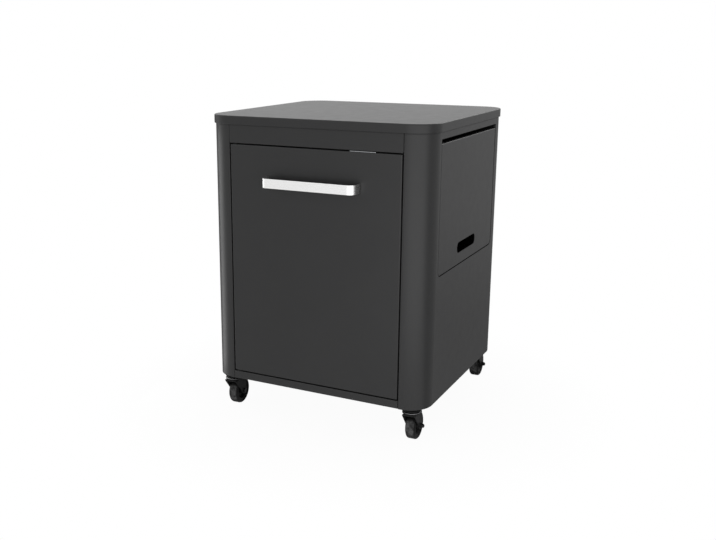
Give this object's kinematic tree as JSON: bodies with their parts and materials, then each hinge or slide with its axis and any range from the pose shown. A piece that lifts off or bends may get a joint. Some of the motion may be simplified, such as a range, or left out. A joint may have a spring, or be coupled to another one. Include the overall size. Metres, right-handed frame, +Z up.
{
  "type": "garden table",
  "caption": "Sheet-steel garden table cabinet with rounded corners, a lid-like worktop, a hinged door with a bar handle, a fold-up side shelf and swivel casters.",
  "frame": {"origin": "on the floor, under the middle of the whole table's box with the door handle and the trailing rear wheels counted", "axes": "+Z up, front with the door towards -Y, fold-up shelf on the +X side"},
  "size_m": [0.636, 0.6618, 0.822],
  "materials": {
    "coat": "satin powder coat, anthracite",
    "handle_steel": "bright brushed",
    "zinc": "zinc plated",
    "magnet": "ferrite",
    "black_steel": "satin black",
    "black_zinc": "black plated",
    "nylon": "moulded",
    "bumper_rubber": "soft",
    "tyre_rubber": "matt",
    "hub_plastic": "moulded"
  },
  "bodies": {
    "cabinet": {"worktop": "coat", "worktop_stiffeners": "coat", "left_side_panel": "coat", "right_side_panel": "coat", "front_top_rail": "coat", "floor_panel": "coat", "rear_panel": "coat", "rear_panel_screws": "zinc", "caster_gussets": "coat", "caster_heads": "black_steel", "caster_nuts": "zinc", "upper_pivot_bush": "nylon", "lower_pivot_bush": "nylon", "catch_housing": "nylon", "catch_magnet": "magnet", "door_bumpers": "bumper_rubber", "shelf_bracket_front": "coat", "shelf_bracket_rear": "coat", "shelf_stop_bar": "coat"},
    "door": {"door_skin": "coat", "door_liner": "coat", "door_handle": "handle_steel", "handle_screws": "zinc", "pivot_blocks": "nylon", "upper_pivot_pin": "zinc", "lower_pivot_pin": "zinc", "striker_plate": "zinc"},
    "shelf_pivot": {"shelf_rod": "zinc", "shelf_rod_caps": "nylon"},
    "shelf": {"shelf_panel": "coat", "shelf_stiffener": "coat", "shelf_ears": "coat"},
    "front_left_caster": {"front_left_fork": "black_steel", "front_left_axle": "black_zinc", "front_left_axle_nut": "black_zinc"},
    "front_left_wheel": {"front_left_tyre": "tyre_rubber", "front_left_hub": "hub_plastic"},
    "front_right_caster": {"front_right_fork": "black_steel", "front_right_axle": "black_zinc", "front_right_axle_nut": "black_zinc"},
    "front_right_wheel": {"front_right_tyre": "tyre_rubber", "front_right_hub": "hub_plastic"},
    "rear_left_caster": {"rear_left_fork": "black_steel", "rear_left_axle": "black_zinc", "rear_left_axle_nut": "black_zinc"},
    "rear_left_wheel": {"rear_left_tyre": "tyre_rubber", "rear_left_hub": "hub_plastic"},
    "rear_right_caster": {"rear_right_fork": "black_steel", "rear_right_axle": "black_zinc", "rear_right_axle_nut": "black_zinc"},
    "rear_right_wheel": {"rear_right_tyre": "tyre_rubber", "rear_right_hub": "hub_plastic"}
  },
  "joints": [
    {"name": "door_hinge", "type": "hinge", "parent": "cabinet", "child": "door", "pos_m": [-0.23, -0.28386, 0.432], "axis": [0, 0, -1], "range_deg": [0, 110]},
    {"name": "shelf_push_in", "type": "slide", "parent": "cabinet", "child": "shelf_pivot", "axis": [-1, 0, 0], "range_m": [0, 0.02]},
    {"name": "shelf_fold", "type": "hinge", "parent": "shelf_pivot", "child": "shelf", "pos_m": [0.296, 0.00144, 0.741], "axis": [0, -1, 0], "range_deg": [0, 90]},
    {"name": "front_left_swivel", "type": "hinge", "parent": "cabinet", "child": "front_left_caster", "pos_m": [-0.269, -0.25586, 0.084], "axis": [0, 0, 1], "continuous": true},
    {"name": "front_left_roll", "type": "hinge", "parent": "front_left_caster", "child": "front_left_wheel", "pos_m": [-0.26987, -0.23088, 0.0375], "axis": [0.9994, 0.0349, 0], "continuous": true},
    {"name": "front_right_swivel", "type": "hinge", "parent": "cabinet", "child": "front_right_caster", "pos_m": [0.269, -0.25586, 0.084], "axis": [0, 0, 1], "continuous": true},
    {"name": "front_right_roll", "type": "hinge", "parent": "front_right_caster", "child": "front_right_wheel", "pos_m": [0.26813, -0.23088, 0.0375], "axis": [0.9994, 0.0349, 0], "continuous": true},
    {"name": "rear_left_swivel", "type": "hinge", "parent": "cabinet", "child": "rear_left_caster", "pos_m": [-0.269, 0.26814, 0.084], "axis": [0, 0, 1], "continuous": true},
    {"name": "rear_left_roll", "type": "hinge", "parent": "rear_left_caster", "child": "rear_left_wheel", "pos_m": [-0.26987, 0.29312, 0.0375], "axis": [0.9994, 0.0349, 0], "continuous": true},
    {"name": "rear_right_swivel", "type": "hinge", "parent": "cabinet", "child": "rear_right_caster", "pos_m": [0.269, 0.26814, 0.084], "axis": [0, 0, 1], "continuous": true},
    {"name": "rear_right_roll", "type": "hinge", "parent": "rear_right_caster", "child": "rear_right_wheel", "pos_m": [0.26813, 0.29312, 0.0375], "axis": [0.9994, 0.0349, 0], "continuous": true}
  ]
}
